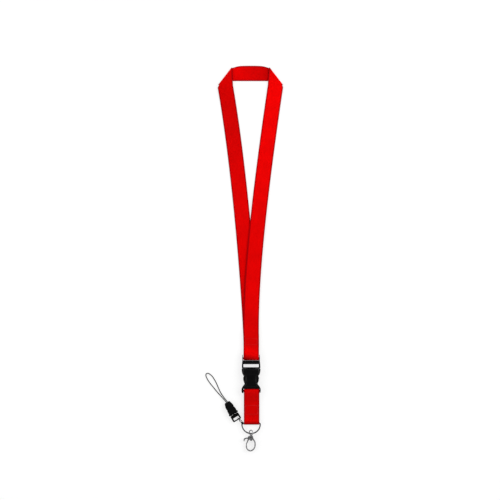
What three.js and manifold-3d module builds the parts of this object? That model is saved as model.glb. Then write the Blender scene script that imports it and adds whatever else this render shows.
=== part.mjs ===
// A neck lanyard lying flat on a table: folded webbing, a side-release buckle, a webbing tab with a
// D-ring, a swivel trigger hook, and a phone cord loop on a small buckle of its own.
// Millimetres. X runs across the lanyard, Y along it towards the neck, and Z up from the table.

import * as THREE from 'three';
import { mergeVertices } from 'three/addons/utils/BufferGeometryUtils.js';
import Module from 'manifold-3d';

const wasm = await Module();
wasm.setup();

// ---- Driving dimensions ------------------------------------------------------------------------

const WEB_WIDTH = 20;
const WEB_THICK = 1;
const LAYER = 1.3; // one layer of webbing and the air above it
const FLOOR_LAYER = WEB_THICK / 2; // height of the middle of a layer that lies on the table
const SEWN_HEIGHT = 3 * LAYER + 0.2; // underside of a thread frame on three layers
const LOOP_RADIUS = 2.1; // middle of the webbing round a buckle's bar
const BAR_RADIUS = 1.3;

const BAND = { top: 248.6, ends: 246.3, bottom: 228.6, arch: 12 };
const FOLD = { topX: 24.3, topY: 246.3, outerX: 41.8, outerY: 223.5 };
const LEG_STEPS = 40;
const RIGHT_LEG = [[32, 221.7], [-5.3, -30.2], [1.3, -84], [0.8, -128.5]];
const LEFT_LEG = [[-32.6, 221.7], [-7.9, 79.8], [3.3, -123.9], [0.8, -128.5]];
const RIGHT_LEG_END = -100;
const LEFT_LEG_END = -112.5;

const BUCKLE = { x: 0.6, z: 4.2, loopX: 0.8, neckBar: -128.5, mouth: -141.9, tabBar: -170.4 };
const RAIL = { inner: 10.45, slot: 9.9, shoulder: 11.3, outer: 11.9, top: -124, bottom: -141.6 };
const FRAME_BAR = { top: -131.4, bottom: -136.1 };
const SHELL_CAVITY = { half: 9, height: 2.4, end: -161.6 };
const TAIL_NOTCH = { left: 9.8, right: 10.9, top: -167.5 };

const TAB = { x: 1.3, top: -170.4, ringBar: -212 };
const RING = { x: 0.6, z: 2.7, radius: 11.75, corner: 1.8, wire: 0.85 };
const EYE = { y: -224.35, radius: 3.1, wire: 0.75, collar: 1.8, turn: -Math.PI / 4 };
const STEM = { radius: 1, bore: 1.25, headRadius: 1.5, headTop: -233.8, headEnd: -234.8 };
const HOOK = { z: 2.85, depth: 2.4, strandHalf: 0.85, strandDepth: 1.8 };
const PIVOT = { x: -3.1, y: -231.2, pin: 0.5, hole: 0.65, boss: 1.15 };

const MINI = { x: -16.85, y: -208.6, z: 2.3, turn: THREE.MathUtils.degToRad(30.5) };
const MINI_BAR = { x: 2.3, y: 0.78 };
const MINI_TIP = 27;
const LINK = { radius: 0.45, overWire: 1.6, overBar: 1.75, spread: 0.9 };
const CORD_RADIUS = 0.6;

// The phone cord's route, from one side of the small housing's tip round to the other.
const CORD_ROUTE = [
  [-29.63, -188.39, 2.3], [-31.35, -185.46, 2.3], [-33.2, -183.2, 2.1], [-35.6, -180.4, 1.4],
  [-40.2, -175.5, 0.8], [-44.7, -170.4, 0.65], [-48.9, -165.2, 0.65], [-53.1, -160.0, 0.65],
  [-56.2, -154.9, 0.65], [-57.7, -150.9, 0.65], [-56.9, -148.6, 0.65], [-54.6, -148.3, 0.65],
  [-51.9, -149.9, 0.65], [-49.2, -152.5, 0.65], [-46.0, -157.4, 0.65], [-43.4, -162.6, 0.65],
  [-41.2, -167.8, 0.65], [-38.7, -173.0, 0.75], [-35.2, -178.2, 1.3], [-32.6, -181.5, 2.0],
  [-30.06, -184.7, 2.3], [-28.33, -187.63, 2.3],
];

// ---- Materials ---------------------------------------------------------------------------------

const finish = (color, roughness, metalness) => () =>
  new THREE.MeshStandardMaterial({ color, roughness, metalness });
const redWebbing = finish(0xdd0808, 0.8, 0);
const redThread = finish(0xc80a0a, 0.7, 0);
const blackPlastic = finish(0x121214, 0.35, 0);
const steelWire = finish(0xb8b8bc, 0.25, 1);
const nickelCasting = finish(0xa8a8ac, 0.3, 1);
const darkCord = finish(0x26262a, 0.85, 0);

// ---- Helpers -----------------------------------------------------------------------------------

const lanyard = new THREE.Group();

function piece(name, geometry, material, parent = lanyard) {
  const mesh = new THREE.Mesh(geometry, material());
  mesh.name = name;
  parent.add(mesh);
}

function groupAt(x, y, z, turn = 0) {
  const group = new THREE.Group();
  group.position.set(x, y, z);
  group.rotation.z = turn;
  lanyard.add(group);
  return group;
}

// A geometry as a solid that can be cut and joined.
function solid(geometry) {
  const bare = geometry.clone();
  bare.deleteAttribute('normal');
  bare.deleteAttribute('uv');
  const merged = mergeVertices(bare, 1e-4);
  return new wasm.Manifold(new wasm.Mesh({
    numProp: 3,
    vertProperties: new Float32Array(merged.attributes.position.array),
    triVerts: new Uint32Array(merged.index.array),
  }));
}

function shell(made) {
  const mesh = made.getMesh();
  const geometry = new THREE.BufferGeometry();
  geometry.setAttribute('position', new THREE.BufferAttribute(mesh.vertProperties, 3));
  geometry.setIndex(new THREE.BufferAttribute(mesh.triVerts, 1));
  return geometry;
}

const joined = (...geometries) => geometries.map(solid).reduce((whole, part) => whole.add(part));

function block(x0, x1, y0, y1, z0, z1) {
  const geometry = new THREE.BoxGeometry(x1 - x0, y1 - y0, z1 - z0);
  geometry.translate((x0 + x1) / 2, (y0 + y1) / 2, (z0 + z1) / 2);
  return geometry;
}

const outline = (points) => new THREE.Shape(points.map(([x, y]) => new THREE.Vector2(x, y)));

// A rounded stretch of an outline through a few points.
const curved = (points, steps) =>
  new THREE.SplineCurve(points.map(([x, y]) => new THREE.Vector2(x, y)))
    .getPoints(steps).map(({ x, y }) => [x, y]);

const mirrored = (points) => points.map(([x, y]) => [-x, y]).reverse();

// An outline symmetric about the Y axis, from the points of its right half.
const symmetric = (points) => outline([...points, ...mirrored(points)]);

function plate(shape, bottom, top) {
  const options = { depth: top - bottom, bevelEnabled: false, curveSegments: 6 };
  const geometry = new THREE.ExtrudeGeometry(shape, options);
  geometry.translate(0, 0, bottom);
  return geometry;
}

// A side profile of (y, z) points, run along X from -half to half.
function sideProfile(shape, half) {
  const along = new THREE.Matrix4().set(0, 0, 1, 0, 1, 0, 0, 0, 0, 1, 0, 0, 0, 0, 0, 1);
  return plate(shape, -half, half).applyMatrix4(along);
}

// A body as thick at each y as (y, half height) pairs say, the same above and below.
function thicknessProfile(pairs, half) {
  return sideProfile(outline([...pairs, ...pairs.map(([y, z]) => [y, -z]).reverse()]), half);
}

function rodAcross(radius, half, y, z = 0, sides = 12) {
  const geometry = new THREE.CylinderGeometry(radius, radius, 2 * half, sides);
  geometry.rotateZ(Math.PI / 2);
  geometry.translate(0, y, z);
  return geometry;
}

function rodAlong(radius, y0, y1, sides = 16) {
  const geometry = new THREE.CylinderGeometry(radius, radius, y1 - y0, sides);
  geometry.translate(0, (y0 + y1) / 2, 0);
  return geometry;
}

function rodUp(radius, x, y, z0, z1, sides = 12) {
  const geometry = new THREE.CylinderGeometry(radius, radius, z1 - z0, sides);
  geometry.rotateX(Math.PI / 2);
  geometry.translate(x, y, (z0 + z1) / 2);
  return geometry;
}

// A closed strip of webbing. Each row is the middle of its left and right edge, and its outward side.
function webbing(rows) {
  const corners = [];
  for (const { left, right, up } of rows) {
    const lift = up.clone().multiplyScalar(WEB_THICK / 2);
    for (const [edge, side] of [[left, -1], [right, -1], [right, 1], [left, 1]]) {
      corners.push(...edge.clone().addScaledVector(lift, side));
    }
  }
  const faces = [];
  for (let row = 0; row + 1 < rows.length; row += 1) {
    for (let k = 0; k < 4; k += 1) {
      const [a, b] = [row * 4 + k, row * 4 + ((k + 1) % 4)];
      faces.push(a, b, b + 4, a, b + 4, a + 4);
    }
  }
  const last = (rows.length - 1) * 4;
  faces.push(0, 2, 1, 0, 3, 2, last, last + 1, last + 2, last, last + 2, last + 3);
  const geometry = new THREE.BufferGeometry();
  geometry.setAttribute('position', new THREE.Float32BufferAttribute(corners, 3));
  geometry.setIndex(faces);
  return geometry;
}

// Rows of webbing along a path of (y, z) points, straight across in X.
function rowsAlongSide(path, divisions) {
  const points = path.getPoints(divisions);
  const across = new THREE.Vector3(WEB_WIDTH / 2, 0, 0);
  return points.map((point, i) => {
    const before = points[Math.max(i - 1, 0)];
    const after = points[Math.min(i + 1, points.length - 1)];
    const travel = new THREE.Vector3(0, after.x - before.x, after.y - before.y).normalize();
    const middle = new THREE.Vector3(0, point.x, point.y);
    return {
      left: middle.clone().sub(across),
      right: middle.clone().add(across),
      up: travel.cross(across).normalize(),
    };
  });
}

// Height of a leg's middle at y, from [y, height] knots that run towards the buckle.
function heightAt(y, knots) {
  const next = knots.findIndex(([at]) => at < y);
  if (next < 1) return next === 0 ? knots[0][1] : knots[knots.length - 1][1];
  const [[y0, z0], [y1, z1]] = [knots[next - 1], knots[next]];
  return z0 + (z1 - z0) * THREE.MathUtils.smoothstep(y0 - y, 0, y0 - y1);
}

// ---- Neck webbing ------------------------------------------------------------------------------

// The flat band behind the neck, between the two folds. Its top edge is a shallow arch.
function neckBand() {
  const rows = [];
  for (let i = 0; i <= BAND.arch; i += 1) {
    const side = (2 * i) / BAND.arch - 1;
    const rise = BAND.top - BAND.ends;
    const foldX = FOLD.topX
      + ((FOLD.topY - BAND.bottom) / (FOLD.topY - FOLD.outerY)) * (FOLD.outerX - FOLD.topX);
    rows.push({
      left: new THREE.Vector3(side * foldX, BAND.bottom, FLOOR_LAYER),
      right: new THREE.Vector3(side * FOLD.topX, BAND.ends + rise * (1 - side ** 4), FLOOR_LAYER),
      up: new THREE.Vector3(0, 0, 1),
    });
  }
  return webbing(rows);
}

// One leg, from its fold to y = end. side is 1 for the right leg and -1 for the left one.
function leg(side, controls, knots, end) {
  const plan = new THREE.CubicBezierCurve(...controls.map(([x, y]) => new THREE.Vector2(x, y)));
  const up = new THREE.Vector3(0, 0, 1);
  const onFold = (x, y) => new THREE.Vector3(side * x, y, heightAt(y, knots));
  const [inner, outer] = [onFold(FOLD.topX, FOLD.topY), onFold(FOLD.outerX, FOLD.outerY)];
  const rows = [side > 0 ? { left: inner, right: outer, up } : { left: outer, right: inner, up }];
  for (let i = 0; i <= LEG_STEPS; i += 1) {
    const at = plan.getPoint(i / LEG_STEPS);
    if (at.y < end) break;
    const travel = plan.getTangent(i / LEG_STEPS);
    const middle = new THREE.Vector3(at.x, at.y, heightAt(at.y, knots));
    const across = new THREE.Vector3(-travel.y, travel.x, 0).setLength(WEB_WIDTH / 2);
    rows.push({ left: middle.clone().sub(across), right: middle.clone().add(across), up });
  }
  return webbing(rows);
}

// Heights of the legs' middles: over the band, down to the table, over each other, over the sewing.
const LEFT_HEIGHTS = [[226, 1.8], [196, 0.5], [-84, 0.5], [-96, 1.8]];
const RIGHT_HEIGHTS = [[226, 1.8], [196, 0.5], [98, 0.5], [70, 1.8], [-84, 1.8], [-96, 3.1]];

// The doubled end: down the front, round the frame's bar and back underneath.
function neckLoop() {
  const bar = new THREE.Vector2(BUCKLE.neckBar, BUCKLE.z);
  const front = FLOOR_LAYER + 2 * LAYER;
  const path = new THREE.Path();
  path.moveTo(RIGHT_LEG_END - 2.2, front);
  path.lineTo(-112, front);
  path.bezierCurveTo(-118, front, -123, bar.y + LOOP_RADIUS, bar.x, bar.y + LOOP_RADIUS);
  path.absarc(bar.x, bar.y, LOOP_RADIUS, Math.PI / 2, 1.5 * Math.PI, false);
  path.bezierCurveTo(-123, bar.y - LOOP_RADIUS, -118, FLOOR_LAYER, -112, FLOOR_LAYER);
  path.lineTo(RIGHT_LEG_END + 2, FLOOR_LAYER);
  const geometry = webbing(rowsAlongSide(path, 6));
  geometry.translate(BUCKLE.loopX, 0, 0);
  return geometry;
}

// A stitched rectangle of thread lying on the webbing.
function threadFrame(half, y0, y1) {
  const frame = outline([[-half, y0], [half, y0], [half, y1], [-half, y1]]);
  const inner = half - 0.8;
  frame.holes.push(outline([
    [-inner, y0 + 0.8], [inner, y0 + 0.8], [inner, y1 - 0.8], [-inner, y1 - 0.8],
  ]));
  return plate(frame, SEWN_HEIGHT - 0.2, SEWN_HEIGHT + 0.2);
}

piece('neck_band', neckBand(), redWebbing);
piece('left_leg', leg(-1, LEFT_LEG, LEFT_HEIGHTS, LEFT_LEG_END), redWebbing);
piece('right_leg', leg(1, RIGHT_LEG, RIGHT_HEIGHTS, RIGHT_LEG_END), redWebbing);
piece('neck_loop', neckLoop(), redWebbing);
const neckSewing = groupAt(BUCKLE.loopX, 0, 0);
piece('neck_stitching', threadFrame(8, -111.5, -103), redThread, neckSewing);

// ---- Side-release buckle -----------------------------------------------------------------------

const buckle = groupAt(BUCKLE.x, 0, BUCKLE.z);

function buckleFrame() {
  const rail = [
    [RAIL.slot, RAIL.bottom], [RAIL.outer - 0.4, RAIL.bottom], [RAIL.outer, RAIL.bottom + 0.6],
    [RAIL.outer, -137.5], [RAIL.shoulder, -132], [RAIL.shoulder, RAIL.top - 0.6],
    [RAIL.shoulder - 0.3, RAIL.top], [RAIL.inner + 0.2, RAIL.top], [RAIL.inner, FRAME_BAR.top],
    [RAIL.slot, FRAME_BAR.top - 0.5],
  ];
  const bridged = RAIL.inner + 0.2;
  return shell(joined(
    plate(outline(rail), -1.9, 1.9),
    plate(outline(mirrored(rail)), -1.9, 1.9),
    rodAcross(BAR_RADIUS, RAIL.inner + 0.6, BUCKLE.neckBar),
    block(-bridged, bridged, FRAME_BAR.bottom, FRAME_BAR.top, -1.5, 1.5),
    block(-bridged, bridged, RAIL.bottom, -140.1, -2.2, 2.2),
    block(-2, 2, -158, RAIL.bottom + 0.5, -0.8, 0.8),
  ));
}

// A prong's right-hand outline: a beam from the frame's base, and the tab that bulges out of the shell.
const PRONG = [
  [5.2, BUCKLE.mouth], [8.2, BUCKLE.mouth], [8.3, -150.9], [9.4, -151.2],
  ...curved([[9.8, -152.4], [10.05, -154.4], [9.6, -158], [8.5, -161]], 8),
  [7.6, -161.3], [5.6, -160.6], [5, -152],
];

function buckleShell() {
  const side = [
    [11.7, BUCKLE.mouth], [12.1, -142.6],
    ...curved([[12.1, -143.6], [11.8, -145.8], [11.4, -147.8], [9.9, -150.6]], 6),
    ...curved([[8.3, -150.9], [7.8, -154], [7.7, -157.5], [8.3, -161.4], [10.2, -163.9],
      [11.8, -166.6], [12.4, -169.3], [12.1, -172]], 16),
    [11.5, -173.2],
  ];
  const thickness = [
    [BUCKLE.mouth + 0.1, 3.6], [-144, 4.2], [-149, 4.2], [-152, 3.9], [-158, 3.9], [-163, 3.4],
    [-167, 2.6], [-170, 2.3], [-174.2, 2],
  ];
  const { half, height, end } = SHELL_CAVITY;
  const { left, right, top } = TAIL_NOTCH;
  const body = solid(plate(symmetric(side), -5, 5))
    .intersect(solid(thicknessProfile(thickness, 14)))
    .subtract(solid(block(-half, half, end, BUCKLE.mouth + 1, -height, height)))
    .subtract(solid(block(-left, right, -175, top, -5, 5)));
  return shell(body.add(solid(rodAcross(BAR_RADIUS, right + 0.6, BUCKLE.tabBar))));
}

piece('buckle_frame', buckleFrame(), blackPlastic, buckle);
piece('prong_right', plate(outline(PRONG), -2.1, 2.1), blackPlastic, buckle);
piece('prong_left', plate(outline(mirrored(PRONG)), -2.1, 2.1), blackPlastic, buckle);
piece('buckle_shell', buckleShell(), blackPlastic, buckle);

// ---- Webbing tab -------------------------------------------------------------------------------

const tab = groupAt(TAB.x, 0, 0);

// From its free end on the table, round the shell's bar, down the front, round the D-ring's bar,
// and back between the two layers to its other free end.
function tabLoop() {
  const ringLoop = RING.wire + 0.3 + WEB_THICK / 2;
  const [middle, front] = [FLOOR_LAYER + LAYER, FLOOR_LAYER + 2 * LAYER];
  const path = new THREE.Path();
  path.moveTo(-202, FLOOR_LAYER);
  path.lineTo(-186, FLOOR_LAYER);
  path.bezierCurveTo(-180, FLOOR_LAYER, -175, BUCKLE.z - LOOP_RADIUS, TAB.top, BUCKLE.z - LOOP_RADIUS);
  path.absarc(TAB.top, BUCKLE.z, LOOP_RADIUS, -Math.PI / 2, Math.PI / 2, false);
  path.bezierCurveTo(-175, BUCKLE.z + LOOP_RADIUS, -180, front, -186, front);
  path.lineTo(-203, front);
  path.bezierCurveTo(-206, front, -209, RING.z + ringLoop, TAB.ringBar, RING.z + ringLoop);
  path.absarc(TAB.ringBar, RING.z, ringLoop, Math.PI / 2, 1.5 * Math.PI, false);
  path.bezierCurveTo(-209, RING.z - ringLoop, -207, middle - 0.2, -204, middle);
  path.lineTo(-187, middle);
  return webbing(rowsAlongSide(path, 6));
}

piece('tab_webbing', tabLoop(), redWebbing, tab);
piece('tab_stitching', threadFrame(8, -201, -189), redThread, tab);

// ---- D-ring ------------------------------------------------------------------------------------

const ring = groupAt(RING.x, 0, RING.z);
const BOW_Y = TAB.ringBar - RING.corner;

function dRing() {
  const { radius, corner, wire } = RING;
  const path = new THREE.Path();
  path.moveTo(-(radius - corner), TAB.ringBar);
  path.lineTo(radius - corner, TAB.ringBar);
  path.absarc(radius - corner, BOW_Y, corner, Math.PI / 2, 0, true);
  path.absarc(0, BOW_Y, radius, 0, -Math.PI, true);
  path.absarc(-(radius - corner), BOW_Y, corner, Math.PI, Math.PI / 2, true);
  const points = path.getSpacedPoints(64).slice(0, -1);
  const centreline = new THREE.CatmullRomCurve3(points.map(({ x, y }) => new THREE.Vector3(x, y, 0)), true);
  return new THREE.TubeGeometry(centreline, 64, wire, 8, true);
}

piece('d_ring', dRing(), steelWire, ring);

// ---- Swivel trigger hook -----------------------------------------------------------------------

const hook = groupAt(RING.x, 0, HOOK.z);
const BRIDGE_TOP = -228.6;
const BRIDGE_END = -233.5;

// The eye on the bow, its stem through the hook's bridge, and the head that holds it there.
function swivelEye() {
  const eye = new THREE.TorusGeometry(EYE.radius, EYE.wire, 8, 24);
  eye.rotateY(EYE.turn);
  eye.translate(0, EYE.y, 0);
  return shell(joined(
    eye,
    rodAlong(EYE.collar, BRIDGE_TOP + 0.3, EYE.y - EYE.radius + 0.2),
    rodAlong(STEM.radius, STEM.headTop - 0.2, EYE.y - EYE.radius - 0.1),
    rodAlong(STEM.headRadius, STEM.headEnd, STEM.headTop),
  ));
}

// The hook, with a slot for the lever and a window that shows the swivel's stem.
function hookBody() {
  const bridge = [
    [-2.4, BRIDGE_TOP], [2.4, BRIDGE_TOP],
    ...curved([[2.7, -230.2], [3.4, -232.2], [4.7, -234.2], [5.7, -236.4]], 6),
    [4.1, -236.6], ...curved([[3.4, -235], [2.6, -234], [1.6, BRIDGE_END]], 4),
    [-1.6, BRIDGE_END], [-4.1, -233.2], [-4.4, -232.6], [-4.4, -230.3], [-3.7, -229.3], [-2.6, -228.8],
  ];
  const route = [
    [4.75, -235.9], [5.15, -238], [5.15, -240.4], [4.4, -243.5], [2.3, -246.4], [-0.9, -247.75],
    [-4.1, -246.4], [-5.85, -243.5], [-6.1, -240.6],
  ];
  const extrudePath = new THREE.CatmullRomCurve3(route.map(([x, y]) => new THREE.Vector3(x, y, 0)));
  const [deep, wide, cut] = [HOOK.strandDepth, HOOK.strandHalf, 0.4];
  const section = outline([
    [-deep, -wide + cut], [-deep + cut, -wide], [deep - cut, -wide], [deep, -wide + cut],
    [deep, wide - cut], [deep - cut, wide], [-deep + cut, wide], [-deep, wide - cut],
  ]);
  const strand = new THREE.ExtrudeGeometry(section, { steps: 32, bevelEnabled: false, extrudePath });
  const leverSlot = block(-6, -1.65, BRIDGE_END - 0.5, BRIDGE_TOP - 0.9, -1.3, 1.6);
  const window = block(-1.1, 1.9, -232.9, -229.8, 0.3, HOOK.depth + 1);
  const body = joined(plate(outline(bridge), -HOOK.depth, HOOK.depth), strand)
    .subtract(solid(rodAlong(STEM.bore, BRIDGE_END - 1, BRIDGE_TOP + 1)))
    .subtract(solid(leverSlot))
    .subtract(solid(window))
    .subtract(solid(rodUp(PIVOT.hole, PIVOT.x, PIVOT.y, -HOOK.depth - 1, HOOK.depth + 1)));
  return shell(body);
}

// The gate: a boss on the pin, an arm that closes the loop, and the thumb tab outside.
function gateLever() {
  const arm = [
    [-4.2, -231.4], [-4.8, -234.4], [-6.5, -238.2], [-6.8, -240.1], [-5.4, -240.1], [-5, -238],
    [-3, -234], [-2.1, -231.8],
  ];
  const wideArm = [
    [-4.9, -234.6], [-6.5, -238.2], [-6.8, -240.1], [-5.4, -240.1], [-5, -238], [-3.3, -234.6],
  ];
  const root = [[-3.4, -230.4], [-6.6, -230.9], [-6.6, -232.3], [-3.4, -232.3]];
  const thumb = [
    [-6.3, -230.9], ...curved([[-7.6, -231.1], [-9.1, -232], [-9.7, -233.6], [-9.5, -235.4]], 6),
    [-8.4, -235.3], ...curved([[-8.4, -234], [-7.8, -232.9], [-6.3, -232.3]], 4),
  ];
  const body = joined(
    rodUp(PIVOT.boss, PIVOT.x, PIVOT.y, -1, 0.6),
    plate(outline(arm), -1, 0.6),
    plate(outline(wideArm), -1.4, 1.4),
    plate(outline(root), -1, 0.6),
    plate(outline(thumb), -1.8, 1.8),
  );
  return shell(body.subtract(solid(rodUp(PIVOT.hole, PIVOT.x, PIVOT.y, -2, 2))));
}

// The torsion spring, as one closed coil round the pin above the lever's boss.
function gateSpring() {
  const section = [[0.72, 0.85], [1.1, 0.85], [1.1, 1.3], [0.72, 1.3], [0.72, 0.85]];
  const coil = new THREE.LatheGeometry(section.map(([x, y]) => new THREE.Vector2(x, y)), 16);
  coil.rotateX(Math.PI / 2);
  coil.translate(PIVOT.x, PIVOT.y, 0);
  return coil;
}

piece('swivel_eye', swivelEye(), nickelCasting, hook);
piece('hook_body', hookBody(), nickelCasting, hook);
piece('gate_lever', gateLever(), nickelCasting, hook);
piece('gate_pin', rodUp(PIVOT.pin, PIVOT.x, PIVOT.y, -HOOK.depth, HOOK.depth), steelWire, hook);
piece('gate_spring', gateSpring(), steelWire, hook);

// ---- Small buckle ------------------------------------------------------------------------------

const mini = groupAt(MINI.x, MINI.y, MINI.z, MINI.turn);

function miniFrame() {
  const plan = symmetric([[4.9, 0], [5.8, 0.9], [5.8, 7.9], [4.9, 8.8]]);
  plan.holes.push(symmetric([[3.5, 1.55], [3.8, 1.85], [3.8, 4.45], [3.5, 4.75]]));
  const thickness = [[-0.1, 0.4], [0.3, 0.65], [1.6, 0.65], [3.2, 1.5], [8.9, 1.5]];
  const body = solid(plate(plan, -2, 2)).intersect(solid(thicknessProfile(thickness, 7)));
  return shell(body.add(solid(block(-0.9, 0.9, 8.5, 17, -0.6, 0.6))));
}

const MINI_PRONG = [
  [2.6, 9.1], [4.5, 9.1], [4.6, 12.1], [5.4, 12.4], ...curved([[5.65, 13], [5.8, 14.2], [5.4, 17.2]], 5),
  [4.8, 18.5], [3.2, 18.2], [2.6, 12],
];

function miniHousing() {
  const side = [
    [5.8, 9.3], [6.3, 9.8], [6.35, 11.2], [5.9, 12], [4.9, 12.3], [4.8, 15.5], [4.9, 18.7],
    ...curved([[5.4, 19.2], [5.1, 21.5], [4.3, 24.6], [3.7, 26.3]], 6), [3, MINI_TIP],
  ];
  const thickness = [[9.2, 2], [10.2, 2.3], [19, 2.3], [23, 2.1], [27.1, 1.5]];
  const body = solid(plate(symmetric(side), -3, 3))
    .intersect(solid(thicknessProfile(thickness, 7)))
    .subtract(solid(block(-4.95, 4.95, 8, 19, -1.5, 1.5)))
    .subtract(solid(block(-1.9, 1.9, 20.6, MINI_TIP + 1, -1, 1)));
  return shell(body);
}

piece('mini_frame', miniFrame(), blackPlastic, mini);
piece('mini_prong_right', plate(outline(MINI_PRONG), -1.2, 1.2), blackPlastic, mini);
piece('mini_prong_left', plate(outline(mirrored(MINI_PRONG)), -1.2, 1.2), blackPlastic, mini);
piece('mini_housing', miniHousing(), blackPlastic, mini);
piece('cord_ferrule', block(-1.5, 1.5, 21.1, 23.5, -0.7, 0.7), steelWire, mini);

// ---- Cord loop between the D-ring's corner and the small frame's bar ---------------------------

function linkLoop() {
  const up = new THREE.Vector3(0, 0, 1);
  const corner = new THREE.Vector3(RING.x - RING.radius + RING.corner, BOW_Y, RING.z);
  const bar = new THREE.Vector3(MINI_BAR.x, MINI_BAR.y, 0).applyAxisAngle(up, MINI.turn)
    .add(new THREE.Vector3(MINI.x, MINI.y, MINI.z));
  const outward = new THREE.Vector3(-0.5, Math.sqrt(0.75), 0);
  const wire = corner.clone().addScaledVector(outward, RING.corner);
  const along = bar.clone().sub(wire).normalize();
  const aside = along.clone().cross(up).normalize();
  const middle = wire.clone().lerp(bar, 0.5);
  const at = (from, dir, far) => from.clone().addScaledVector(dir, far);
  const { overWire, overBar, spread } = LINK;
  const route = new THREE.CatmullRomCurve3([
    at(wire, up, overWire),
    at(wire, along, -overWire),
    at(wire, up, -overWire),
    at(at(middle, up, -0.8), aside, spread),
    at(bar, up, -overBar),
    at(bar, along, overBar),
    at(bar, up, overBar),
    at(at(middle, up, 0.8), aside, -spread),
  ], true);
  return new THREE.TubeGeometry(route, 32, LINK.radius, 8, true);
}

piece('link_loop', linkLoop(), darkCord);

// ---- Phone cord --------------------------------------------------------------------------------

function phoneCord() {
  const section = new THREE.Shape();
  section.absarc(0, 0, CORD_RADIUS, 0, 2 * Math.PI, false);
  const extrudePath = new THREE.CatmullRomCurve3(CORD_ROUTE.map((point) => new THREE.Vector3(...point)));
  return new THREE.ExtrudeGeometry(section, {
    steps: 56, bevelEnabled: false, curveSegments: 8, extrudePath,
  });
}

piece('phone_cord', phoneCord(), darkCord);

export default lanyard;
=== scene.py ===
"""A neck lanyard lying flat on a pale table, seen from straight above.

Everything is in metres in the CAD frame: X across the lanyard, Y towards the neck, Z up.
The lanyard's own dimensions below are in millimetres and go through MM.
"""

import math

import bmesh
import bpy
from mathutils import Matrix, Vector


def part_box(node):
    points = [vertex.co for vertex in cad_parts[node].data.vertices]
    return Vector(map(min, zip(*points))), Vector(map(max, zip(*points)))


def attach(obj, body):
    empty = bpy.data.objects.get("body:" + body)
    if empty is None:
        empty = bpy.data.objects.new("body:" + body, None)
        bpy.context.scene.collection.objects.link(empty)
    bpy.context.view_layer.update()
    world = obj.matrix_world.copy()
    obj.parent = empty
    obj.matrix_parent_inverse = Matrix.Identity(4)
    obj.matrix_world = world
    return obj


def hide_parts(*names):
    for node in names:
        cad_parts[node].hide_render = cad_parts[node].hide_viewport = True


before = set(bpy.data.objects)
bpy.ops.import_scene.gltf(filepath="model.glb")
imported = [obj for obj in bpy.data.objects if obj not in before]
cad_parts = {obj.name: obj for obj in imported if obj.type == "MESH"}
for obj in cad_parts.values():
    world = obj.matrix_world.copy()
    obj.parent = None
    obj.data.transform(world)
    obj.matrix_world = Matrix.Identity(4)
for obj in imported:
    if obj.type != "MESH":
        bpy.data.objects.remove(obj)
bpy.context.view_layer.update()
MM = 0.001
UP = Vector((0, 0, 1))

# ---- Driving dimensions, in millimetres ----------------------------------------------------------

CAMERA = {"x": -0.8, "y": 10.8, "width": 645, "lens": 100, "sensor": 36}

WEB_WIDTH = 20
WEB_THICK = 1
LAYER = 1.3
FLOOR_LAYER = WEB_THICK / 2
LOOP_RADIUS = 2.25
# The webbing's section as (distance in from its edge, half thickness): round, then a selvedge groove.
SELVEDGE = ((0, 0.0), (0.06, 0.24), (0.22, 0.4), (0.5, 0.48), (1.1, 0.5), (1.6, 0.43), (2.1, 0.5))
SELVEDGE_WIDTH = 1.7
EDGE_SHADE_WIDTH = 2.2
WEAVE_PITCH = 0.9

FOLD = {"inner": (23.6, 245.6), "outer": (40.9, 223.2), "radius": 0.65}
BAND = {"top": 248.4, "bottom": 228.6}
LEFT_LEG = ((-32.6, 221.7), (-7.9, 79.8), (3.3, -123.9), (0.8, -128.5))
RIGHT_LEG = ((32, 221.7), (-5.3, -30.2), (1.3, -84), (0.8, -128.5))
# Heights of the legs' middles, as (y, height) knots that run towards the buckle.
LEFT_HEIGHTS = ((226, 1.8), (196, 0.5), (-84, 0.5), (-96, 1.8))
RIGHT_HEIGHTS = ((226, 1.8), (196, 0.5), (98, 0.5), (70, 1.8), (-84, 1.8), (-96, 3.1))
LEFT_LEG_END = -112.5
RIGHT_LEG_END = -98
# Both strips' lengths as cut, before folding and sewing.
STITCH = {"inset": 0.4, "radius": 0.24, "half_length": 0.95, "pitch": 2.5, "proud": 0.06}
# Painted light and shade along each strip, as (distance from its start, brightness): stretches lighter or
# darker by how the light falls, and dark where the webbing turns round a bar or goes in under the buckle.
NECK_PAINTED_SHADING = (
    (0, 0.74), (180, 0.8), (290, 0.66), (349, 0.7), (366, 0.82), (400, 0.62), (411, 0.5), (417, 0.88),
    (440, 0.96), (560, 0.86), (660, 0.8), (700, 0.86), (732, 0.74), (755, 0.74), (764, 0.72), (772, 0.84),
    (779, 0.82), (784, 0.44), (788, 0.1),
)
TAB_PAINTED_SHADING = (
    (0, 0.6), (31, 0.2), (35, 0.4), (38, 0.7), (50, 0.64), (64, 0.64), (78, 0.7), (82, 0.3), (92, 0.2),
)

BUCKLE = {"x": 0.6, "z": 4.2, "loop_x": 0.8, "neck_bar": -128.5, "tab_bar": -170.4}
# Half width of the shell's plates between its ribs, as (y, half width).
WAIST = ((-150, 8.4), (-154, 7.8), (-157.5, 7.7), (-161.5, 8.3), (-163.9, 9.9), (-166.6, 11.6))
# Middles of the three ribs on a prong's thumb tab, as (y, distance from the buckle's middle).
GRIP_RIBS = ((-153.1, 9.95), (-154.7, 10.05), (-156.3, 9.9))
GRIP_RIB_RADIUS = 0.28
TAB = {"x": 1.3, "ring_bar": -212}
RING = {"x": 0.6, "z": 2.7, "radius": 11.75, "corner": 1.8, "wire": 0.85}
PIVOT = {"x": -2.5, "y": -231.2, "z": 2.85}
SPRING = {"coil": 0.92, "wire": 0.13, "base": 0.93, "rise": 0.27, "start": 200, "steps": 30}
MINI = {"x": -16.85, "y": -208.6, "z": 2.3, "turn": math.radians(30.5)}
MINI_BAR = (2.3, 0.78)
LINK = {"radius": 0.45, "over_wire": 1.6, "over_bar": 1.75, "hitch": 1.32}
CORD_RADIUS = 0.6

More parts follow.
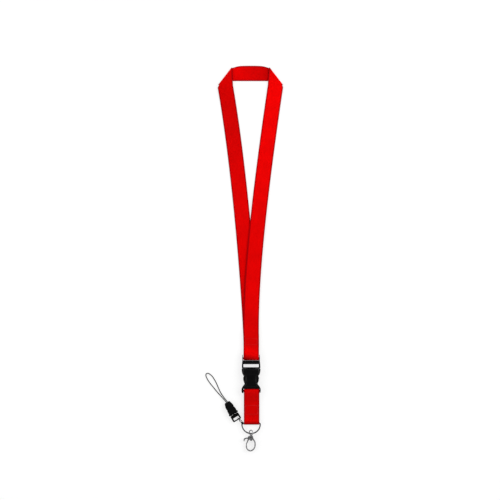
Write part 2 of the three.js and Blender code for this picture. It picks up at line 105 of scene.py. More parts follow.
# The phone cord's route, from one side of the small housing's tip round to the other.
CORD_ROUTE = (
    (-29.63, -188.39, 2.3), (-31.35, -185.46, 2.3), (-33.2, -183.2, 2.1), (-35.6, -180.4, 1.4),
    (-40.2, -175.5, 0.8), (-44.7, -170.4, 0.65), (-48.9, -165.2, 0.65), (-53.1, -160.0, 0.65),
    (-56.2, -154.9, 0.65), (-57.7, -150.9, 0.65), (-56.9, -148.6, 0.65), (-54.6, -148.3, 0.65),
    (-51.9, -149.9, 0.65), (-49.2, -152.5, 0.65), (-46.0, -157.4, 0.65), (-43.4, -162.6, 0.65),
    (-41.2, -167.8, 0.65), (-38.7, -173.0, 0.75), (-35.2, -178.2, 1.3), (-32.6, -181.5, 2.0),
    (-30.06, -184.7, 2.3), (-28.33, -187.63, 2.3),
)

# ---- Studio, in metres ---------------------------------------------------------------------------

# The backdrop's profile, as (distance from the middle, height): a floor that curves up into a wall.
BACKDROP = ((0.0001, 0), (1, 0), (2, 0), (4.5, 0), (5, 0.12), (5.4, 0.5), (5.55, 1), (5.6, 4))
BACKDROP_SINK = 0.0001
# Each softbox's name, place, size and power in watts.
SOFTBOXES = (
    ("right_softbox", (1.5, 0.5, 1.3), (1.4, 1.4), 23),
    ("left_softbox", (-1.6, 0.2, 1.3), (1.4, 1.4), 14),
    ("far_softbox", (0.1, 1.9, 1.2), (1.6, 1.0), 9),
)
SKY_STRENGTH = 0.22


# ---- Shader building -----------------------------------------------------------------------------


class Shader:
    """A node material with a Principled surface, and short names for the nodes it uses."""

    def __init__(self, name, **settings):
        self.material = bpy.data.materials.new(name)
        self.material["slot"] = name
        self.material.use_nodes = True
        self.tree = self.material.node_tree
        self.surface = self.tree.nodes["Principled BSDF"]
        for socket, value in settings.items():
            self.surface.inputs[socket.replace("_", " ")].default_value = value

    def node(self, kind, inputs=(), **properties):
        made = self.tree.nodes.new(kind)
        for key, value in properties.items():
            setattr(made, key, value)
        for socket, value in dict(inputs).items():
            self.feed(made, socket, value)
        return made

    def feed(self, node, socket, value):
        if isinstance(value, bpy.types.NodeSocket):
            self.tree.links.new(value, node.inputs[socket])
        else:
            node.inputs[socket].default_value = value

    def math(self, operation, a, b=0.0):
        return self.node("ShaderNodeMath", {0: a, 1: b}, operation=operation).outputs[0]

    def noise(self, scale, detail=3.0):
        where = self.node("ShaderNodeTexCoord").outputs["Object"]
        inputs = {"Vector": where, "Scale": scale, "Detail": detail}
        return self.node("ShaderNodeTexNoise", inputs).outputs["Fac"]

    def ramp(self, value, low, high, start=0.3, end=0.7):
        made = self.node("ShaderNodeValToRGB", {"Fac": value})
        for element, position, colour in zip(made.color_ramp.elements, (start, end), (low, high)):
            element.position = position
            element.color = (*colour, 1)
        return made.outputs["Color"]

    def spread(self, value, low, high):
        inputs = {"Value": value, "To Min": low, "To Max": high}
        return self.node("ShaderNodeMapRange", inputs).outputs["Result"]

    def bump(self, height, distance, strength=1.0):
        inputs = {"Height": height, "Distance": distance, "Strength": strength}
        self.feed(self.surface, "Normal", self.node("ShaderNodeBump", inputs).outputs["Normal"])

    def waves(self, value, pitch):
        """A sine along value, in metres, that repeats every pitch millimetres."""
        return self.math("SINE", self.math("MULTIPLY", value, 2 * math.pi / (pitch * MM)))

    def strip_place(self):
        """Metres across and along a strip, from its UV map."""
        spot = self.node("ShaderNodeUVMap", uv_map="strip").outputs["UV"]
        parts = self.node("ShaderNodeSeparateXYZ", {"Vector": spot})
        return parts.outputs["X"], parts.outputs["Y"]

    def steps(self, value, stops):
        """A grey that follows (position, brightness) stops as value goes from 0 to 1."""
        made = self.node("ShaderNodeValToRGB", {"Fac": value})
        elements = made.color_ramp.elements
        while len(elements) < len(stops):
            elements.new(0.5)
        for element, (position, brightness) in zip(elements, stops):
            element.position = position
            element.color = (brightness, brightness, brightness, 1)
        return made.outputs["Color"]

    def mixed(self, factor, first, second, blend="MIX"):
        """Two colours mixed. A plain tuple is a colour of its own."""
        made = self.node("ShaderNodeMix", data_type="RGBA", blend_type=blend)
        for index, value in ((0, factor), (6, first), (7, second)):
            self.feed(made, index, value)
        return made.outputs[2]


def webbing_material(shading_stops):
    """Woven red polyester, with painted light and shade along the strip from (distance along the strip,
    brightness) stops, and painted shade along both edges.
    """
    shader = Shader("red_webbing", Roughness=0.8, Specular_IOR_Level=0.3, Sheen_Weight=0.12)
    shader.surface.inputs["Specular Tint"].default_value = (0.9, 0.02, 0.02, 1)
    shader.surface.inputs["Sheen Tint"].default_value = (1, 0.05, 0.04, 1)
    across, along = shader.strip_place()
    ribs = shader.waves(along, WEAVE_PITCH)
    yarns = shader.waves(across, WEAVE_PITCH)
    twill = shader.waves(shader.math("ADD", across, along), 1.6 * WEAVE_PITCH)
    weave = shader.math("ADD", shader.math("MULTIPLY", ribs, yarns), twill)
    fuzz = shader.noise(2600, 4)
    shader.bump(shader.math("ADD", weave, shader.math("MULTIPLY", fuzz, 0.8)), 0.00009, 0.7)
    shade = shader.math("ADD", shader.noise(55, 4), shader.math("MULTIPLY", weave, 0.02))
    cloth = shader.ramp(shade, (0.88, 0.0, 0.0), (1.0, 0.0, 0.0))
    reach = shading_stops[-1][0]
    stops = [(distance / reach, brightness) for distance, brightness in shading_stops]
    # Painted light and shade: the cloth's red multiplied by brightness stops along the strip.
    painted_shading = shader.steps(shader.math("DIVIDE", along, reach * MM), stops)
    shaded_cloth = shader.mixed(1.0, cloth, painted_shading, "MULTIPLY")
    # Painted shade along both rounded edges, deeper over the selvedge band, mixed in towards a dark red.
    inset = shader.math("SUBTRACT", WEB_WIDTH / 2 * MM, shader.math("ABSOLUTE", across))
    selvedge = shader.math("LESS_THAN", inset, SELVEDGE_WIDTH * MM)
    soft = shader.spread(inset, 1, 0)
    soft.node.inputs["From Max"].default_value = EDGE_SHADE_WIDTH * MM
    edge = shader.math("MAXIMUM", soft, shader.math("MULTIPLY", selvedge, 0.35))
    edge_shade_colour = (0.22, 0.0, 0.003, 1)
    shader.feed(shader.surface, "Base Color", shader.mixed(edge, shaded_cloth, edge_shade_colour))
    return shader.material


def thread_material():
    """Twisted red sewing thread."""
    shader = Shader("red_thread", Roughness=0.55, Specular_IOR_Level=0.35)
    dye = shader.ramp(shader.noise(900), (0.42, 0, 0.001), (0.68, 0.004, 0.004))
    shader.feed(shader.surface, "Base Color", dye)
    shader.bump(shader.noise(5000), 0.00006, 0.6)
    return shader.material


def plastic_material():
    """Black moulded plastic with a faint grain."""
    shader = Shader("black_plastic", Specular_IOR_Level=0.14)
    shade = shader.ramp(shader.noise(120), (0.0006, 0.0006, 0.0007), (0.002, 0.002, 0.0022))
    shader.feed(shader.surface, "Base Color", shade)
    shader.feed(shader.surface, "Roughness", shader.spread(shader.noise(400), 0.26, 0.42))
    shader.bump(shader.noise(2200, 5), 0.00003, 0.5)
    return shader.material


def metal_material(name, low, high, rough):
    """Metal whose colour and roughness vary in small patches."""
    shader = Shader(name, Metallic=1.0)
    shader.feed(shader.surface, "Base Color", shader.ramp(shader.noise(260, 5), low, high))
    shader.feed(shader.surface, "Roughness", shader.spread(shader.noise(700, 6), rough - 0.06, rough + 0.1))
    shader.bump(shader.noise(1500, 4), 0.00002, 0.5)
    return shader.material


def cord_material():
    """Black braided cord."""
    shader = Shader("black_cord", Roughness=0.8, Specular_IOR_Level=0.15, Sheen_Weight=0.05)
    around, along = shader.strip_place()
    left = shader.waves(shader.math("ADD", around, along), CORD_RADIUS * math.pi / 2)
    right = shader.waves(shader.math("SUBTRACT", around, along), CORD_RADIUS * math.pi / 2)
    braid = shader.math("MULTIPLY", left, right)
    shader.bump(braid, 0.00008, 0.8)
    # Darker in the braid's hollows and lighter on its ridges: painted shade that follows the braid's bump.
    shade = shader.ramp(shader.spread(braid, 0, 1), (0.005, 0.005, 0.006), (0.022, 0.022, 0.024), 0.2, 0.9)
    shader.feed(shader.surface, "Base Color", shade)
    return shader.material


def floor_material():
    """A matt white floor, slightly self-lit so that it stays white behind dark pieces."""
    shader = Shader("pale_floor", Roughness=0.9, Specular_IOR_Level=0.0, Emission_Strength=0.73)
    shader.surface.inputs["Emission Color"].default_value = (1, 1, 1, 1)
    shade = shader.ramp(shader.noise(1.5), (0.28, 0.28, 0.28), (0.3, 0.3, 0.3))
    shader.feed(shader.surface, "Base Color", shade)
    return shader.material


NECK_WEBBING = webbing_material(NECK_PAINTED_SHADING)
TAB_WEBBING = webbing_material(TAB_PAINTED_SHADING)
THREAD = thread_material()
PLASTIC = plastic_material()
STEEL = metal_material("steel_wire", (0.06, 0.06, 0.065), (0.14, 0.14, 0.145), 0.22)
NICKEL = metal_material("nickel_casting", (0.26, 0.26, 0.265), (0.44, 0.44, 0.445), 0.25)
CORD = cord_material()


# ---- Mesh helpers --------------------------------------------------------------------------------


def place(name, mesh, material, body=None, nodes=()):
    """A new piece with this mesh and material, riding on a body and standing for CAD nodes."""
    piece = bpy.data.objects.new(name, mesh)
    bpy.context.scene.collection.objects.link(piece)
    mesh.materials.clear()
    mesh.materials.append(material)
    for face in mesh.polygons:
        face.use_smooth = True
    if body:
        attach(piece, body)
    if nodes:
        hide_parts(*nodes)
    return piece


def grid_mesh(name, rings, places, capped=True):
    """A tube of rings of points. places holds each point's strip coordinates, in metres."""
    count = len(rings[0])
    mesh = bpy.data.meshes.new(name)
    faces = [
        (r * count + k, r * count + (k + 1) % count, (r + 1) * count + (k + 1) % count, (r + 1) * count + k)
        for r in range(len(rings) - 1)
        for k in range(count)
    ]
    if capped:
        faces.append(tuple(reversed(range(count))))
        faces.append(tuple((len(rings) - 1) * count + k for k in range(count)))
    mesh.from_pydata([point for ring in rings for point in ring], [], faces)
    flat = [pair for ring in places for pair in ring]
    layer = mesh.uv_layers.new(name="strip")
    for loop in mesh.loops:
        layer.data[loop.index].uv = flat[loop.vertex_index]
    return mesh


def section_points():
    """The webbing's section as (distance across from the middle, height), in millimetres."""
    half = WEB_WIDTH / 2
    left = [(inset - half, thick) for inset, thick in SELVEDGE]
    middle = [(x, WEB_THICK / 2) for x in (-6, -4, -2, 0, 2, 4, 6)]
    right = [(-x, thick) for x, thick in reversed(left)]
    top = left + middle + right
    bottom = [(x, -thick) for x, thick in reversed(top[1:-1])]
    return bottom + top


def ribbon_mesh(name, rows):
    """Webbing along rows of (edge, other edge, outward side). Edges are points in millimetres."""
    section = section_points()
    rings, places = [], []
    run = [0.0, 0.0]
    before = rows[0]
    for row in rows:
        for k in (0, 1):
            run[k] += (row[k] - before[k]).length
        before = row
        first, second, side = row
        ring, spots = [], []
        for x, height in section:
            share = 0.5 + x / WEB_WIDTH
            point = first.lerp(second, share) + side * height
            ring.append(point * MM)
            spots.append((x * MM, (run[0] + (run[1] - run[0]) * share) * MM))
        rings.append(ring)
        places.append(spots)
    return grid_mesh(name, rings, places)


def tube_rings(points, radius, sides, closed=False):
    """Rings round a line of points, in millimetres, without twist, and their strip coordinates."""
    count = len(points)
    tangents = []
    for k in range(count):
        ahead = points[(k + 1) % count] if closed or k + 1 < count else points[k]
        behind = points[k - 1] if closed or k else points[k]
        tangents.append((ahead - behind).normalized())
    side = tangents[0].orthogonal().normalized()
    sides_at = [side]
    for k in range(1, count):
        side = tangents[k - 1].rotation_difference(tangents[k]) @ side
        sides_at.append((side - tangents[k] * side.dot(tangents[k])).normalized())
    twist = 0.0
    if closed:
        last = tangents[-1].rotation_difference(tangents[0]) @ sides_at[-1]
        twist = math.atan2(last.cross(sides_at[0]).dot(tangents[0]), last.dot(sides_at[0]))
    rings, places, run = [], [], 0.0
    for k, (point, tangent, side) in enumerate(zip(points, tangents, sides_at)):
        run += (point - points[k - 1]).length if k else 0.0
        turn = twist * k / count
        other = tangent.cross(side)
        angles = [turn + 2 * math.pi * s / sides for s in range(sides)]
        ring = [(point + (side * math.cos(a) + other * math.sin(a)) * radius) * MM for a in angles]
        rings.append(ring)
        places.append([(a * radius * MM, run * MM) for a in angles])
    if closed:
        rings.append([p.copy() for p in rings[0]])
        places.append([(u, run * MM) for u, _ in places[0]])
    return rings, places


def tube_mesh(name, points, radius, sides=16, closed=False):
    rings, places = tube_rings(points, radius, sides, closed)
    mesh = grid_mesh(name, rings, places, capped=not closed)
    if closed:
        shape = bmesh.new()
        shape.from_mesh(mesh)
        bmesh.ops.remove_doubles(shape, verts=shape.verts, dist=1e-7)
        shape.to_mesh(mesh)
        shape.free()
    return mesh


def smooth_line(points, per_span=8, closed=False):
    """Points on a Catmull-Rom curve through these points."""
    count = len(points)
    made = []
    for k in range(count if closed else count - 1):
        if closed:
            a, b, c, d = (points[(k + n) % count] for n in (-1, 0, 1, 2))
        else:
            a, b, c, d = (points[min(max(k + n, 0), count - 1)] for n in (-1, 0, 1, 2))
        for step in range(per_span):
            t = step / per_span
            made.append(0.5 * (
                2 * b + (c - a) * t + (2 * a - 5 * b + 4 * c - d) * t ** 2
                + (3 * b - a - 3 * c + d) * t ** 3
            ))
    return made if closed else made + [points[-1].copy()]


def joined(name, meshes):
    """One mesh from several."""
    shape = bmesh.new()
    for mesh in meshes:
        shape.from_mesh(mesh)
    whole = bpy.data.meshes.new(name)
    shape.to_mesh(whole)
    shape.free()
    return whole


def moulded_mesh(node, voxel, rounds):
    """The CAD node's shape with rounded edges: remeshed at voxel millimetres and relaxed."""
    piece = bpy.data.objects.new("shape_of_" + node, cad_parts[node].data.copy())
    bpy.context.scene.collection.objects.link(piece)
    remesh = piece.modifiers.new("remesh", "REMESH")
    remesh.mode = "VOXEL"
    remesh.voxel_size = voxel * MM
    relax = piece.modifiers.new("relax", "SMOOTH")
    relax.iterations = rounds
    relax.factor = 0.5
    seen = piece.evaluated_get(bpy.context.evaluated_depsgraph_get())
    mesh = bpy.data.meshes.new_from_object(seen)
    bpy.data.objects.remove(piece)
    return mesh


def ease(value, start, end):
    """0 at start, 1 at end, and smooth between."""
    share = min(max((value - start) / (end - start), 0.0), 1.0)
    return share * share * (3 - 2 * share)


# ---- Camera --------------------------------------------------------------------------------------


def add_camera():
    data = bpy.data.cameras.new("camera")
    data.lens = CAMERA["lens"]
    data.sensor_width = CAMERA["sensor"]
    camera = bpy.data.objects.new("camera", data)
    distance = CAMERA["width"] * CAMERA["lens"] / CAMERA["sensor"]
    camera.location = (CAMERA["x"] * MM, CAMERA["y"] * MM, distance * MM)
    bpy.context.scene.collection.objects.link(camera)
    bpy.context.scene.camera = camera


add_camera()


# ---- Phone cord ----------------------------------------------------------------------------------


def phone_cord():
    line = smooth_line([Vector(point) for point in CORD_ROUTE], 6)
    mesh = tube_mesh("braided_phone_cord", line, CORD_RADIUS, 14)
    piece = place("braided_phone_cord", mesh, CORD, "mini_housing_body", ["phone_cord"])


phone_cord()


# ---- Webbing -------------------------------------------------------------------------------------


def bezier(controls, share):
    a, b, c, d = (Vector(point) for point in controls)
    rest = 1 - share
    return a * rest ** 3 + b * (3 * rest ** 2 * share) + c * (3 * rest * share ** 2) + d * share ** 3


def height_at(y, knots):
    """Height of a leg's middle at y, from (y, height) knots that run towards the buckle."""
    height = knots[0][1]
    for (y0, z0), (y1, z1) in zip(knots, knots[1:]):
        if y < y0:
            height = z0 + (z1 - z0) * ease(y0 - y, 0, y0 - y1)
    return height


def leg_rows(controls, knots, end, side, steps=110):
    """Rows from the fold towards the buckle, each as (outer edge, inner edge, up)."""
    rows = []
    for k in range(steps + 1):
        here = bezier(controls, k / steps)
        if here.y < end:
            break
        travel = bezier(controls, min(k / steps + 0.002, 1)) - bezier(controls, max(k / steps - 0.002, 0))
        across = Vector((-travel.y, travel.x, 0)).normalized() * (side * WEB_WIDTH / 2)
        middle = Vector((here.x, here.y, height_at(here.y, knots)))
        rows.append((middle + across, middle - across, UP))
    return rows


def fold_rows(side, steps=10):
    """Rows round a corner's fold, from the leg on top to the band below it."""
    inner = Vector((side * FOLD["inner"][0], FOLD["inner"][1], 0))
    outer = Vector((side * FOLD["outer"][0], FOLD["outer"][1], 0))
    along = (outer - inner).normalized()
    outward = Vector((along.y, -along.x, 0)) * -side
    rows = []
    for k in range(steps + 1):
        turn = math.pi * k / steps
        level = UP * (FLOOR_LAYER + LAYER / 2)
        swing = outward * math.sin(turn) + UP * math.cos(turn)
        shift = level + swing * FOLD["radius"]
        rows.append((outer + shift, inner + shift, swing))
    return rows


def between(first, second, steps):
    """Rows that lead from one row to the next."""
    return [
        tuple(a.lerp(b, k / (steps + 1)) for a, b in zip(first, second)) for k in range(1, steps + 1)
    ]


def band_rows():
    """Rows of the band from its left end to its right end, reverse side up."""
    rows = []
    for share in (-1, -0.82, -0.64, -0.44, -0.22, 0, 0.22, 0.44, 0.64, 0.82, 1):
        top = Vector((21.4 * share, BAND["top"] - 2.1 * share ** 4, FLOOR_LAYER))
        bottom = Vector((33.5 * share * abs(share) ** 0.4, BAND["bottom"], FLOOR_LAYER))
        rows.append((bottom, top, -UP))
    return rows


def side_path(*stretches):
    """(y, height) points along lines, curves and arcs."""
    points = []
    for kind, *values in stretches:
        if kind == "line":
            start, end = (Vector(v) for v in values)
            count = max(int((end - start).length / 2), 2)
            points += [start.lerp(end, k / count) for k in range(count + 1)]
        elif kind == "curve":
            points += [bezier(values, k / 12) for k in range(1, 12)]
        else:
            y, z, radius, start, end = values
            turns = [math.radians(start + (end - start) * k / 16) for k in range(17)]
            points += [Vector((y + radius * math.cos(a), z + radius * math.sin(a))) for a in turns]
    return points


def side_rows(points, x, side):
    """Rows of webbing along (y, height) points. side is the way from the middle to the first edge."""
    rows = []
    for k, point in enumerate(points):
        travel = points[min(k + 1, len(points) - 1)] - points[max(k - 1, 0)]
        across = Vector((-side, 0, 0))
        outward = across.cross(Vector((0, travel.x, travel.y))).normalized()
        middle = Vector((x, point.x, point.y))
        rows.append((middle - across * WEB_WIDTH / 2, middle + across * WEB_WIDTH / 2, outward))
    return rows


def neck_webbing():
    """One strip: up the left leg, across the band, down the right leg and round the buckle's bar."""
    left = leg_rows(LEFT_LEG, LEFT_HEIGHTS, LEFT_LEG_END, -1)
    right = leg_rows(RIGHT_LEG, RIGHT_HEIGHTS, RIGHT_LEG_END, 1)
    left_fold = fold_rows(-1)
    right_fold = list(reversed(fold_rows(1)))
    band = band_rows()
    front = FLOOR_LAYER + 2 * LAYER
    bar_y, bar_z = BUCKLE["neck_bar"], BUCKLE["z"]
    loop = side_path(
        ("line", (RIGHT_LEG_END - 3, front), (-112, front)),
        ("curve", (-112, front), (-118, front), (-123, bar_z + LOOP_RADIUS), (bar_y, bar_z + LOOP_RADIUS)),
        ("arc", bar_y, bar_z, LOOP_RADIUS, 90, 270),
        ("curve", (bar_y, bar_z - LOOP_RADIUS), (-123, bar_z - LOOP_RADIUS), (-118, FLOOR_LAYER),
         (-112, FLOOR_LAYER)),
        ("line", (-112, FLOOR_LAYER), (-98, FLOOR_LAYER)),
    )
    rows = list(reversed(left))
    rows += between(left[0], left_fold[0], 5) + left_fold
    rows += between(left_fold[-1], band[0], 3) + band + between(band[-1], right_fold[0], 3)
    rows += right_fold + between(right_fold[-1], right[0], 5) + right
    rows += side_rows(loop, BUCKLE["loop_x"], 1)
    nodes = ["neck_band", "left_leg", "right_leg", "neck_loop"]
    mesh = ribbon_mesh("neck_webbing_strip", rows)
    return place("neck_webbing_strip", mesh, NECK_WEBBING, "neck_strap", nodes)


def tab_strip():
    """The tab: round the shell's bar, down the front, round the D-ring's bar and back inside."""
    ring_loop = RING["wire"] + 0.3 + WEB_THICK / 2
    low, middle, front = FLOOR_LAYER, FLOOR_LAYER + LAYER, FLOOR_LAYER + 2 * LAYER
    bar_y, bar_z = BUCKLE["tab_bar"], BUCKLE["z"]
    ring_y, ring_z = TAB["ring_bar"], RING["z"]
    path = side_path(
        ("line", (-202, low), (-186, low)),
        ("curve", (-186, low), (-180, low), (-175, bar_z - LOOP_RADIUS), (bar_y, bar_z - LOOP_RADIUS)),
        ("arc", bar_y, bar_z, LOOP_RADIUS, -90, 90),
        ("curve", (bar_y, bar_z + LOOP_RADIUS), (-175, bar_z + LOOP_RADIUS), (-180, front), (-186, front)),
        ("line", (-186, front), (-203, front)),
        ("curve", (-203, front), (-206, front), (-209, ring_z + ring_loop), (ring_y, ring_z + ring_loop)),
        ("arc", ring_y, ring_z, ring_loop, 90, 270),
        ("curve", (ring_y, ring_z - ring_loop), (-209, ring_z - ring_loop), (-207, middle - 0.2),
         (-204, middle)),
        ("line", (-204, middle), (-187, middle)),
    )
    rows = side_rows(path, TAB["x"], -1)
    mesh = ribbon_mesh("tab_webbing_strip", rows)
    return place("tab_webbing_strip", mesh, TAB_WEBBING, "tab_body", ["tab_webbing"])


def stitched_frame(name, node, body):
    """A rectangle of sewn stitches where the CAD's thread frame lies, sunk halfway into the webbing."""
    low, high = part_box(node)
    inset = STITCH["inset"] * MM
    x0, x1, y0, y1 = low[0] + inset, high[0] - inset, low[1] + inset, high[1] - inset
    height = (FLOOR_LAYER + 2 * LAYER + WEB_THICK / 2 + STITCH["proud"]) * MM
    corners = [Vector((x, y, height)) for x, y in ((x0, y0), (x1, y0), (x1, y1), (x0, y1))]
    radius = STITCH["radius"] * MM
    stretch = Matrix.Diagonal((STITCH["half_length"] * MM, radius, radius, 1))
    shape = bmesh.new()
    for start, end in zip(corners, corners[1:] + corners[:1]):
        count = max(round((end - start).length / (STITCH["pitch"] * MM)), 1)
        turn = math.atan2(end.y - start.y, end.x - start.x)
        for k in range(count):
            here = start.lerp(end, (k + 0.5) / count)
            lie = Matrix.Translation(here) @ Matrix.Rotation(turn, 4, "Z")
            bmesh.ops.create_uvsphere(shape, u_segments=12, v_segments=8, radius=1, matrix=lie @ stretch)
    mesh = bpy.data.meshes.new(name)
    shape.to_mesh(mesh)
    shape.free()
    return place(name, mesh, THREAD, body, [node])


def sewn_webbing():
    """Both strips with their thread."""
    neck = neck_webbing()
    neck_thread = stitched_frame("neck_stitches", "neck_stitching", "neck_strap")
    tab = tab_strip()
    tab_thread = stitched_frame("tab_stitches", "tab_stitching", "tab_body")


sewn_webbing()


# ---- Side-release buckle -------------------------------------------------------------------------


def waist(y):
    """Half width of the shell's plates at y, in millimetres."""
    if y >= WAIST[0][0]:
        return WAIST[0][1]
    for (y0, w0), (y1, w1) in zip(WAIST, WAIST[1:]):
        if y >= y1:
            return w0 + (w1 - w0) * (y0 - y) / (y0 - y1)
    return WAIST[-1][1]


def shell_relief(mesh):
    """Rounded shoulders on the collar, a raised rib along the waist, and a hollow between the ribs."""
    for vertex in mesh.vertices:
        x = abs(vertex.co.x / MM - BUCKLE["x"])
        y = vertex.co.y / MM
        z = vertex.co.z / MM - BUCKLE["z"]
        shoulder = ease(x, 8.6, 12.2) * ease(y, -152, -149.5)
        z *= 1 - 0.5 * shoulder ** 1.5
        if abs(z) > 3:
            inset = waist(y) - x
            plate = ease(y, -166, -164) * ease(y, -148.6, -150.2)
            rib = ease(inset, 0.2, 0.7) * ease(inset, 1.9, 1.3)
            hollow = ease(inset, 1.8, 2.6)
            z += math.copysign(plate * (0.25 * rib - 0.3 * hollow), z)
        vertex.co.z = (BUCKLE["z"] + z) * MM


def grip_ribs(side):
    """Three small ribs on the outside of a prong's thumb tab."""
    meshes = []
    for y, x in GRIP_RIBS:
        place_x = BUCKLE["x"] + side * x
        ends = [Vector((place_x, y, BUCKLE["z"] + z)) for z in (-1.6, 0, 1.6)]
        meshes.append(tube_mesh("rib", ends, GRIP_RIB_RADIUS, 10))
    return meshes


def buckle():
    frame_mesh = moulded_mesh("buckle_frame", 0.22, 3)
    place("buckle_frame_moulding", frame_mesh, PLASTIC, "buckle_frame_body", ["buckle_frame"])
    shell = moulded_mesh("buckle_shell", 0.22, 4)
    shell_relief(shell)
    place("buckle_shell_moulding", shell, PLASTIC, "buckle_shell_body", ["buckle_shell"])
    for word, side in (("left", -1), ("right", 1)):
        node = "prong_" + word
        mesh = joined(node, [moulded_mesh(node, 0.2, 4), *grip_ribs(side)])
        place(node + "_moulding", mesh, PLASTIC, word + "_prong_body", [node])


buckle()


# ---- D-ring --------------------------------------------------------------------------------------


def ring_corner():
    """The middle of the D-ring's left-hand bend."""
    return Vector((RING["x"] - RING["radius"] + RING["corner"], TAB["ring_bar"] - RING["corner"], RING["z"]))


def ring_line():
    """The middle of the D-ring's wire, all the way round."""
    x0, z, radius, corner = RING["x"], RING["z"], RING["radius"], RING["corner"]
    bow_y = TAB["ring_bar"] - corner
    flat = radius - corner
    points = [(x0 - flat + 2 * flat * k / 12, TAB["ring_bar"]) for k in range(12)]
    points += [
        (x0 + flat + corner * math.sin(a), bow_y + corner * math.cos(a))
        for a in (math.radians(10 * k) for k in range(9))
    ]
    points += [
        (x0 + radius * math.cos(a), bow_y - radius * math.sin(a))
        for a in (math.radians(5 * k) for k in range(36))
    ]
    points += [
        (x0 - flat - corner * math.cos(a), bow_y + corner * math.sin(a))
        for a in (math.radians(10 * k) for k in range(9))
    ]
    return [Vector((x, y, z)) for x, y in points]


place("d_ring_wire", tube_mesh("d_ring_wire", ring_line(), RING["wire"], 20, closed=True), STEEL,
      "ring_body", ["d_ring"])


# ---- Swivel trigger hook -------------------------------------------------------------------------


def domed_pin():
    """The gate's rivet, with a low dome on each end."""
    low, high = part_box("gate_pin")
    radius = (high[0] - low[0]) / 2
    length = high[2] - low[2]
    steps = [(0.0, -0.06), (0.6, -0.03), (0.92, 0.02), (1.0, 0.08)]
    half = [(r * radius, z * length) for r, z in steps]
    profile = half + [(r, length - z) for r, z in reversed(half)]
    shape = bmesh.new()
    rings = []
    for r, z in profile:
        turns = [2 * math.pi * k / 20 for k in range(20)]
        rings.append([
            shape.verts.new((PIVOT["x"] * MM + max(r, 1e-6) * math.cos(a),
                             PIVOT["y"] * MM + max(r, 1e-6) * math.sin(a), low[2] + z))
            for a in turns
        ])
    for lower, upper in zip(rings, rings[1:]):
        for k in range(20):
            n = (k + 1) % 20
            shape.faces.new((lower[k], lower[n], upper[n], upper[k]))
    bmesh.ops.remove_doubles(shape, verts=shape.verts, dist=2e-5)
    mesh = bpy.data.meshes.new("gate_rivet")
    shape.to_mesh(mesh)
    shape.free()
    return place("gate_rivet", mesh, STEEL, "hook_casting", ["gate_pin"])


def torsion_spring():
    """A coil round the pin, with one leg along the lever and one against the casting."""
    middle = Vector((PIVOT["x"], PIVOT["y"], PIVOT["z"]))
    coil_radius, steps = SPRING["coil"], SPRING["steps"]
    turns = [math.radians(SPRING["start"] + 15 * k) for k in range(steps + 1)]
    line = [
        middle + Vector((coil_radius * math.cos(a), coil_radius * math.sin(a),
                         SPRING["base"] + SPRING["rise"] * k / steps))
        for k, a in enumerate(turns)
    ]
    lead_in = line[0] + Vector((-0.35, -1.2, -0.02))
    lead_out = line[-1] + Vector((0.3, 0.9, 0.02))
    coil = smooth_line([lead_in, *line, lead_out], 2)
    mesh = tube_mesh("torsion_spring", coil, SPRING["wire"], 8)
    place("torsion_spring", mesh, STEEL, "hook_casting", ["gate_spring"])


def hook():
    pieces = (
        ("swivel_eye", "eye_body", 0.13),
        ("hook_body", "hook_casting", 0.16),
        ("gate_lever", "gate_body", 0.15),
    )
    for node, body, voxel in pieces:
        place(node + "_casting", moulded_mesh(node, voxel, 5), NICKEL, body, [node])
    domed_pin()
    torsion_spring()


hook()


# ---- Small buckle --------------------------------------------------------------------------------


def mini_point(x, y, z=0.0):
    """A point given in the small buckle's own turned frame."""
    turned = Matrix.Rotation(MINI["turn"], 3, "Z") @ Vector((x, y, z))
    return turned + Vector((MINI["x"], MINI["y"], MINI["z"]))


def mini_buckle():
    pieces = (
        ("mini_frame", "mini_frame_body"),
        ("mini_housing", "mini_housing_body"),
        ("mini_prong_left", "mini_left_prong_body"),
        ("mini_prong_right", "mini_right_prong_body"),
    )
    for node, body in pieces:
        place(node + "_moulding", moulded_mesh(node, 0.15, 4), PLASTIC, body, [node])
    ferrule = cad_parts["cord_ferrule"]
    ferrule.data.materials.clear()
    ferrule.data.materials.append(STEEL)


mini_buckle()


# ---- Cord link between the D-ring's corner and the small buckle ----------------------------------


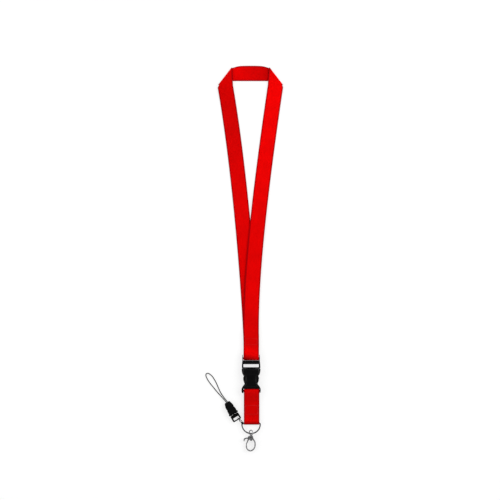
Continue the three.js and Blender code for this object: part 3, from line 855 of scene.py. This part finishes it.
def link_cord():
    """Two strands from the small frame's bar to a hitch round the D-ring's corner."""
    corner = ring_corner()
    wire = corner + Vector((-0.5, math.sqrt(0.75), 0)) * RING["corner"]
    bar = mini_point(*MINI_BAR)
    along = (bar - wire).normalized()
    aside = along.cross(UP).normalized()
    middle = wire.lerp(bar, 0.5)
    over_wire, over_bar = LINK["over_wire"], LINK["over_bar"]
    strands = smooth_line([
        wire + UP * over_wire - aside * 0.5,
        wire + along * 1.6 + UP * 0.9 - aside * 0.5,
        middle + UP * 0.8 - aside * 0.9,
        bar + UP * over_bar,
        bar + along * over_bar,
        bar - UP * over_bar,
        middle - UP * 0.8 + aside * 0.9,
        wire + along * 1.6 - UP * 0.9 + aside * 0.5,
        wire - UP * over_wire + aside * 0.5,
    ], 8)
    tangent = Vector((math.sqrt(0.75), 0.5, 0))
    outward = Vector((-0.5, math.sqrt(0.75), 0))
    turns = [math.radians(90 + 18 * k) for k in range(51)]
    hitch = [
        wire + tangent * (0.7 - 2.3 * k / 50)
        + (outward * math.cos(a) + UP * math.sin(a)) * LINK["hitch"]
        for k, a in enumerate(turns)
    ]
    bridge = smooth_line([
        wire + tangent * 0.8 + outward * 1.1 + UP * 0.2,
        wire + tangent * 0.3 + outward * 1.75 + UP * 0.9,
        wire - tangent * 0.9 + outward * 1.75 + UP * 0.9,
        wire - tangent * 1.5 + outward * 1.1 + UP * 0.2,
    ], 6)
    meshes = [tube_mesh("part", line, LINK["radius"], 12) for line in (strands, hitch, bridge)]
    place("hitched_link_cord", joined("hitched_link_cord", meshes), CORD, "link_body", ["link_loop"])


link_cord()


# ---- Floor and light -----------------------------------------------------------------------------


def add_floor():
    """A round floor that curves up into a wall, as a studio backdrop does."""
    turns = [2 * math.pi * k / 48 for k in range(48)]
    rings = [
        [Vector((r * math.cos(a), r * math.sin(a), z - BACKDROP_SINK)) for a in turns] for r, z in BACKDROP
    ]
    places = [[(point.x, point.y) for point in ring] for ring in rings]
    mesh = grid_mesh("floor", rings, places, capped=False)
    place("floor", mesh, floor_material())


def softbox(name, place_at, size, power):
    """A rectangular area light that faces the origin."""
    data = bpy.data.lights.new(name, "AREA")
    data.shape = "RECTANGLE"
    data.size, data.size_y = size
    data.energy = power
    light = bpy.data.objects.new(name, data)
    light.location = place_at
    light.rotation_euler = (-Vector(place_at)).to_track_quat("-Z", "Y").to_euler()
    bpy.context.scene.collection.objects.link(light)


def add_light():
    for name, place_at, size, power in SOFTBOXES:
        softbox(name, place_at, size, power)
    world = bpy.data.worlds.new("studio")
    world.use_nodes = True
    sky = world.node_tree.nodes["Background"]
    sky.inputs["Color"].default_value = (1, 1, 1, 1)
    sky.inputs["Strength"].default_value = SKY_STRENGTH
    bpy.context.scene.world = world
    bpy.context.scene.view_settings.view_transform = "Standard"


add_floor()
add_light()
